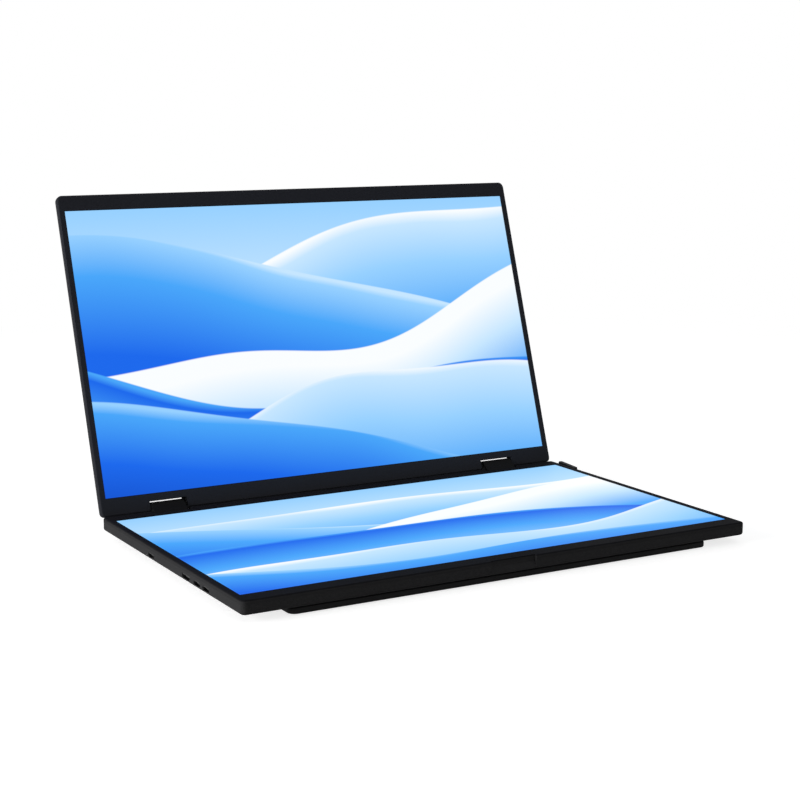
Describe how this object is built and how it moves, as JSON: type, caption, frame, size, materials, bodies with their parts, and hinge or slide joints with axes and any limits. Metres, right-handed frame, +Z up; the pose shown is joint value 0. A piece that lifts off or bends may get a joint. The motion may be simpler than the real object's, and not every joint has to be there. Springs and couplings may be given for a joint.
{
  "type": "portable monitor",
  "caption": "Folding portable monitor with a screen in its base and in its lid, a geared hinge, a fold-out stand under the base, sockets on one side and keys on the other.",
  "frame": {"origin": "on the desk, at the middle of the outline seen from above", "axes": "+X to the user's right, +Y to the back, +Z up"},
  "size_m": [0.3578, 0.293, 0.2179],
  "materials": {
    "case_grey": "fine matte anodised",
    "bezel_black": "satin",
    "screen": "smooth",
    "light_guide": "diffuse",
    "tray_steel": "plain",
    "board_green": "solder mask",
    "chip_black": "moulded",
    "socket_metal": "plated",
    "tongue_black": "moulded",
    "cable_film": "film",
    "speaker_black": "moulded",
    "key_black": "satin",
    "stand_grey": "satin",
    "rubber_black": "matte",
    "hinge_black": "black satin",
    "bracket_black": "black coated",
    "hinge_steel": "machined"
  },
  "bodies": {
    "base": {"base_backlight": "light_guide", "base_bezel": "bezel_black", "base_bracket_screws": "hinge_steel", "base_hinge_bracket_left": "bracket_black", "base_hinge_bracket_right": "bracket_black", "base_hinge_shaft_left": "hinge_steel", "base_hinge_shaft_right": "hinge_steel", "base_panel_board": "board_green", "base_panel_tray": "tray_steel", "base_screen": "screen", "base_shaft_nuts": "hinge_steel", "base_shell": "case_grey", "base_torque_washers": "hinge_steel", "board_chips": "chip_black", "board_screws": "hinge_steel", "chip_shield": "tray_steel", "control_board": "board_green", "key_switches": "chip_black", "lid_signal_cable": "cable_film", "main_board": "board_green", "mini_hdmi_socket": "socket_metal", "panel_ribbon": "cable_film", "rear_foot_left": "rubber_black", "rear_foot_right": "rubber_black", "rocker_pin": "hinge_steel", "socket_tongues": "tongue_black", "speaker_left": "speaker_black", "speaker_right": "speaker_black", "stand_lug_left": "stand_grey", "stand_lug_right": "stand_grey", "stand_pins": "hinge_steel", "stand_screws": "hinge_steel", "usb_c_first_socket": "socket_metal", "usb_c_power_socket": "socket_metal", "usb_c_second_socket": "socket_metal"},
    "hinge_link": {"hinge_housing_left": "hinge_black", "hinge_housing_right": "hinge_black", "hinge_bearing_plates": "hinge_steel", "hinge_end_caps": "hinge_black"},
    "lid": {"lid_backlight": "light_guide", "lid_bezel": "bezel_black", "lid_bracket_screws": "hinge_steel", "lid_hinge_bracket_left": "bracket_black", "lid_hinge_bracket_right": "bracket_black", "lid_hinge_shaft_left": "hinge_steel", "lid_hinge_shaft_right": "hinge_steel", "lid_panel_board": "board_green", "lid_panel_tray": "tray_steel", "lid_screen": "screen", "lid_shaft_nuts": "hinge_steel", "lid_shell": "case_grey", "lid_torque_washers": "hinge_steel"},
    "stand": {"stand_plate": "stand_grey", "stand_bumpers": "rubber_black", "stand_foot_strip": "rubber_black"},
    "lower_idlers": {"lower_idler_gears": "hinge_steel"},
    "upper_idlers": {"upper_idler_gears": "hinge_steel"},
    "menu_rocker": {"menu_rocker": "key_black"},
    "power_button": {"power_button": "key_black"}
  },
  "joints": [
    {"name": "hinge_link_fold", "type": "hinge", "parent": "base", "child": "hinge_link", "pos_m": [0, 0.06954, 0.0091], "axis": [-1, 0, 0], "range_deg": [-54.28, 103.2]},
    {"name": "lid_fold", "type": "hinge", "parent": "hinge_link", "child": "lid", "pos_m": [0, 0.0762, 0.01389], "axis": [-1, 0, 0], "range_deg": [-54.28, 103.2]},
    {"name": "lower_idler_turn", "type": "hinge", "parent": "hinge_link", "child": "lower_idlers", "pos_m": [0, 0.07192, 0.01081], "axis": [-1, 0, 0], "range_deg": [-81.43, 154.8]},
    {"name": "upper_idler_turn", "type": "hinge", "parent": "hinge_link", "child": "upper_idlers", "pos_m": [0, 0.07382, 0.01218], "axis": [-1, 0, 0], "range_deg": [-154.8, 81.43]},
    {"name": "stand_fold", "type": "hinge", "parent": "base", "child": "stand", "pos_m": [0, -0.03125, 0.0026], "axis": [1, 0, 0], "range_deg": [0, 75]},
    {"name": "menu_rock", "type": "hinge", "parent": "base", "child": "menu_rocker", "pos_m": [0.17458, 0.05354, 0.0093], "axis": [0, 0, 1], "range_deg": [-3, 3], "stiffness_Nm_per_rad": 0.2},
    {"name": "power_press", "type": "slide", "parent": "base", "child": "power_button", "axis": [-1, 0, 0], "range_m": [0, 0.0005], "stiffness_N_per_m": 1500}
  ],
  "couplings": [
    {"joint": "lid_fold", "follows": "hinge_link_fold", "ratio": 1},
    {"joint": "lower_idler_turn", "follows": "hinge_link_fold", "ratio": 1.5},
    {"joint": "upper_idler_turn", "follows": "hinge_link_fold", "ratio": -1.5}
  ]
}
